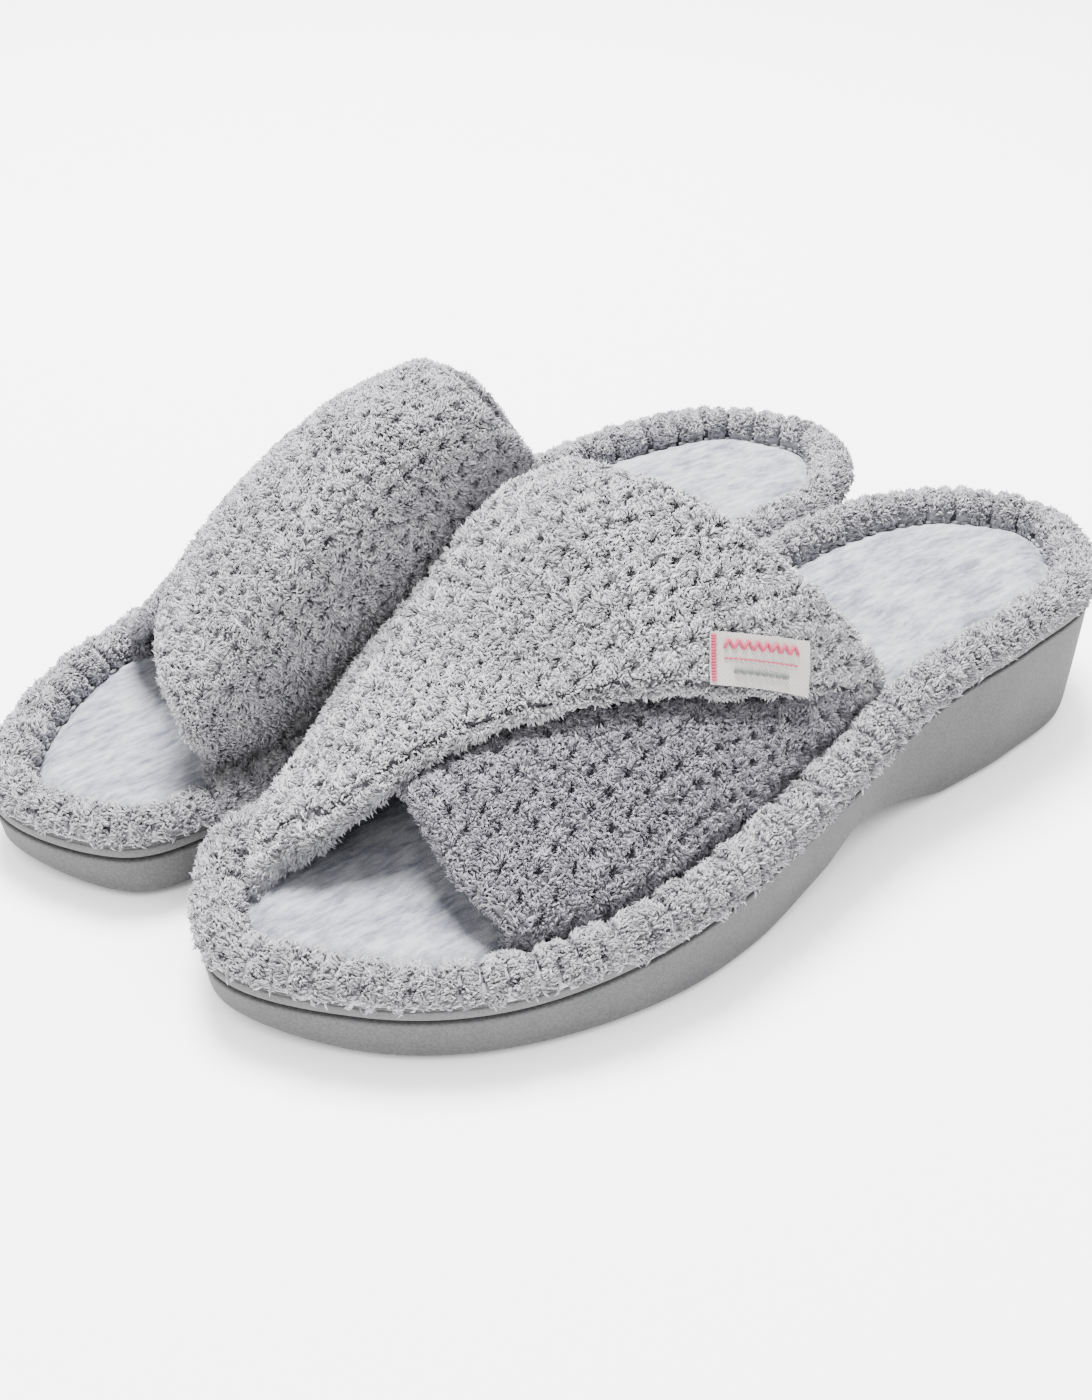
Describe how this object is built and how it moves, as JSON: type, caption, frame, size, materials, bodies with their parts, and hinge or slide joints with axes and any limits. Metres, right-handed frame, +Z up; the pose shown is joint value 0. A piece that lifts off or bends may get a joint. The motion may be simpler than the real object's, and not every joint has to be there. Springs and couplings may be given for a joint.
{
  "type": "spa slippers",
  "caption": "Pair of open-toe terry spa slides with crossed padded straps, rolled rim, soft footbed and moulded wedge sole.",
  "frame": {"origin": "on the ground, under the middle of the pair's bounding box", "axes": "+Z up, toes towards -Y, the left slipper on the +X side of the right one"},
  "size_m": [0.19, 0.2816, 0.1025],
  "materials": {
    "terry": "looped pile with a dimpled grid, matt",
    "velour": "brushed pile, faint mottle",
    "lining": "plain knit, matt",
    "sole": "moulded, fine grain, satin",
    "eva": "closed-cell foam",
    "foam": "open-cell foam",
    "board": "pressed fibre board",
    "thread": "spun thread",
    "label": "woven tape with a coloured selvedge"
  },
  "bodies": {
    "root": {"left_outsole": "sole", "left_midsole": "eva", "left_insole_board": "board", "left_sole_band": "sole", "left_rim_cover": "terry", "left_rim_core": "foam", "left_footbed_foam": "foam", "left_footbed_cover": "velour", "left_perimeter_seam": "thread", "left_under_strap_face": "terry", "left_under_strap_foam": "foam", "left_under_strap_lining": "lining", "left_over_strap_face": "terry", "left_over_strap_foam": "foam", "left_over_strap_lining": "lining", "left_label": "label", "right_outsole": "sole", "right_midsole": "eva", "right_insole_board": "board", "right_sole_band": "sole", "right_rim_cover": "terry", "right_rim_core": "foam", "right_footbed_foam": "foam", "right_footbed_cover": "velour", "right_perimeter_seam": "thread", "right_under_strap_face": "terry", "right_under_strap_foam": "foam", "right_under_strap_lining": "lining", "right_over_strap_face": "terry", "right_over_strap_foam": "foam", "right_over_strap_lining": "lining", "right_label": "label"}
  },
  "joints": []
}
